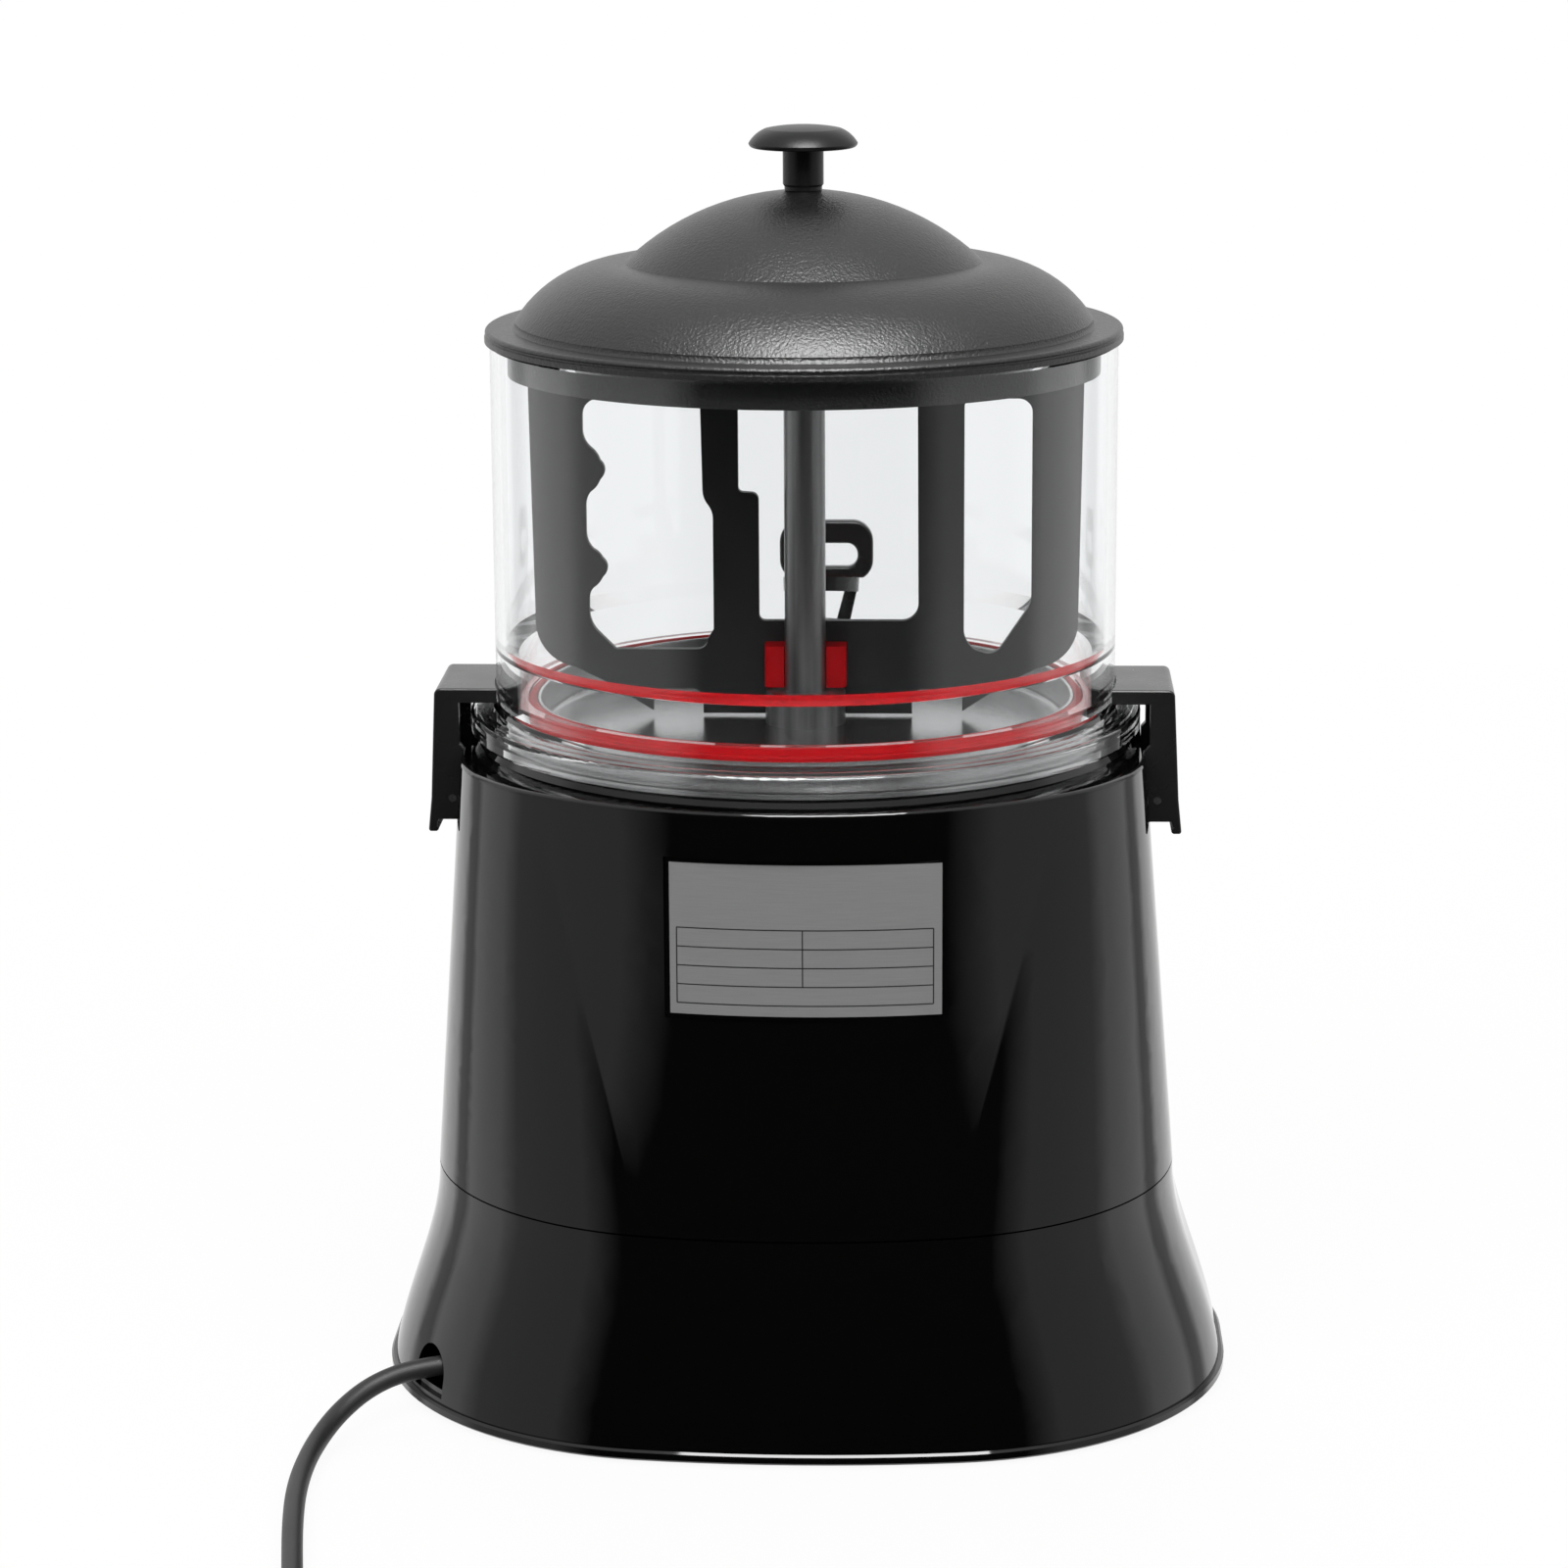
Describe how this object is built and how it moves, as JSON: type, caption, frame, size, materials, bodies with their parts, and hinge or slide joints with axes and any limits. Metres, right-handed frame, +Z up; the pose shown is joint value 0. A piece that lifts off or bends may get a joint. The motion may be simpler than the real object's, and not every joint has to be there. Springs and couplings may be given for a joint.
{
  "type": "hot chocolate dispenser",
  "caption": "Countertop hot chocolate dispenser: lidded clear bowl with a stirring paddle over a heated pan, side latches, lever tap, flared housing, drip tray and mains cord.",
  "frame": {"origin": "centre of the footprint, tray included and cord left out, on the plane the feet stand on", "axes": "+Z up; the front, with tap and drip tray, faces -Y; the rating plate faces +Y"},
  "size_m": [0.3404, 0.6412, 0.47],
  "materials": {
    "casing_black": "smooth black moulding, satin to glossy",
    "lid_black": "fine-grained satin black moulding",
    "latch_black": "satin black moulding",
    "paddle_black": "satin black moulding",
    "clear_polycarbonate": "clear, polished",
    "red_silicone": "smooth, slightly shiny",
    "polished_steel": "polished",
    "plain_steel": "plain",
    "grille_steel": "brushed",
    "rating_aluminium": "satin, with ruled lines",
    "zinc_sheet": "zinc-plated",
    "motor_grey": "satin grey",
    "bushing_white": "plain",
    "panel_grey": "fine-grained",
    "knob_black": "satin",
    "switch_black": "glossy",
    "rocker_green": "glossy",
    "lamp_amber": "translucent",
    "tray_black": "satin black moulding",
    "foot_rubber": "matte",
    "cord_black": "matte black sheath",
    "plug_black": "fine-grained",
    "blade_brass": "plain"
  },
  "bodies": {
    "housing": {"base_plate": "zinc_sheet", "base_screws": "plain_steel", "bowl": "clear_polycarbonate", "bracket_posts": "zinc_sheet", "bracket_screws": "plain_steel", "centre_tube": "polished_steel", "control_panel": "panel_grey", "cord_coil": "cord_black", "cord_gland": "cord_black", "gear_motor": "motor_grey", "heated_pan": "polished_steel", "heating_element": "motor_grey", "indicator_lamps": "lamp_amber", "latch_bracket_left": "latch_black", "latch_bracket_right": "latch_black", "latch_pins": "plain_steel", "lever_pin": "plain_steel", "lower_bushing": "bushing_white", "lower_skirt": "casing_black", "motor_bracket": "zinc_sheet", "overheat_cutout": "motor_grey", "pan_outlet": "plain_steel", "pan_seal": "red_silicone", "plug_blades": "blade_brass", "plug_lead": "cord_black", "power_cord": "cord_black", "power_plug": "plug_black", "power_switch_housing": "switch_black", "rating_plate": "rating_aluminium", "rubber_feet": "foot_rubber", "sensing_bulb": "motor_grey", "stirrer_switch_housing": "switch_black", "tap_body": "latch_black", "tap_cap": "latch_black", "tap_seal": "red_silicone", "terminal_block": "motor_grey", "thermostat": "motor_grey", "tray_shelf": "tray_black", "upper_bushing": "bushing_white", "upper_casing": "casing_black", "valve_spring": "plain_steel"},
    "stirrer": {"stirring_paddle": "paddle_black", "paddle_bush": "red_silicone", "drive_shaft": "polished_steel", "shaft_coupling": "plain_steel", "motor_spindle": "plain_steel"},
    "lid": {"lid": "lid_black", "lid_knob": "lid_black", "knob_screw": "plain_steel"},
    "latch_left": {"latch_left": "latch_black"},
    "latch_right": {"latch_right": "latch_black"},
    "tap_lever": {"tap_lever": "latch_black"},
    "tap_piston": {"valve_piston": "latch_black", "piston_seal": "red_silicone"},
    "power_rocker": {"power_rocker": "rocker_green"},
    "stirrer_rocker": {"stirrer_rocker": "rocker_green"},
    "temperature_knob": {"temperature_knob": "knob_black", "thermostat_spindle": "plain_steel"},
    "drip_tray": {"drip_tray": "tray_black"},
    "drip_grille": {"drip_grille": "grille_steel"}
  },
  "joints": [
    {"name": "stirrer_spin", "type": "hinge", "parent": "housing", "child": "stirrer", "pos_m": [0, 0.069, 0.39], "axis": [0, 0, 1], "continuous": true},
    {"name": "lid_lift", "type": "slide", "parent": "housing", "child": "lid", "axis": [0, 0, 1], "range_m": [0, 0.12]},
    {"name": "latch_left_hinge", "type": "hinge", "parent": "housing", "child": "latch_left", "pos_m": [0.1313, 0.069, 0.2227], "axis": [0, 1, 0], "range_deg": [0, 40]},
    {"name": "latch_right_hinge", "type": "hinge", "parent": "housing", "child": "latch_right", "pos_m": [-0.1313, 0.069, 0.2227], "axis": [0, -1, 0], "range_deg": [0, 40]},
    {"name": "tap_lever_pull", "type": "hinge", "parent": "housing", "child": "tap_lever", "pos_m": [0, -0.129, 0.223], "axis": [1, 0, 0], "range_deg": [0, 30], "stiffness_Nm_per_rad": 0.02, "springref_deg": -34.38},
    {"name": "tap_piston_lift", "type": "slide", "parent": "housing", "child": "tap_piston", "axis": [0, 0, 1], "range_m": [0, 0.006], "deforming": ["valve_spring"]},
    {"name": "power_rocker_tip", "type": "hinge", "parent": "housing", "child": "power_rocker", "pos_m": [0.034, -0.0566, 0.153], "axis": [1, 0, 0], "range_deg": [-14, 0]},
    {"name": "stirrer_rocker_tip", "type": "hinge", "parent": "housing", "child": "stirrer_rocker", "pos_m": [-0.034, -0.0566, 0.153], "axis": [1, 0, 0], "range_deg": [-14, 0]},
    {"name": "temperature_turn", "type": "hinge", "parent": "housing", "child": "temperature_knob", "pos_m": [0, -0.059, 0.158], "axis": [0, 1, 0], "range_deg": [0, 270]},
    {"name": "tray_slide", "type": "slide", "parent": "housing", "child": "drip_tray", "axis": [0, -1, 0], "range_m": [0, 0.1]},
    {"name": "grille_lift", "type": "slide", "parent": "drip_tray", "child": "drip_grille", "axis": [0, 0, 1], "range_m": [0, 0.05]}
  ],
  "couplings": [
    {"joint": "tap_piston_lift", "follows": "tap_lever_pull", "m_per_rad": 0.0112}
  ]
}
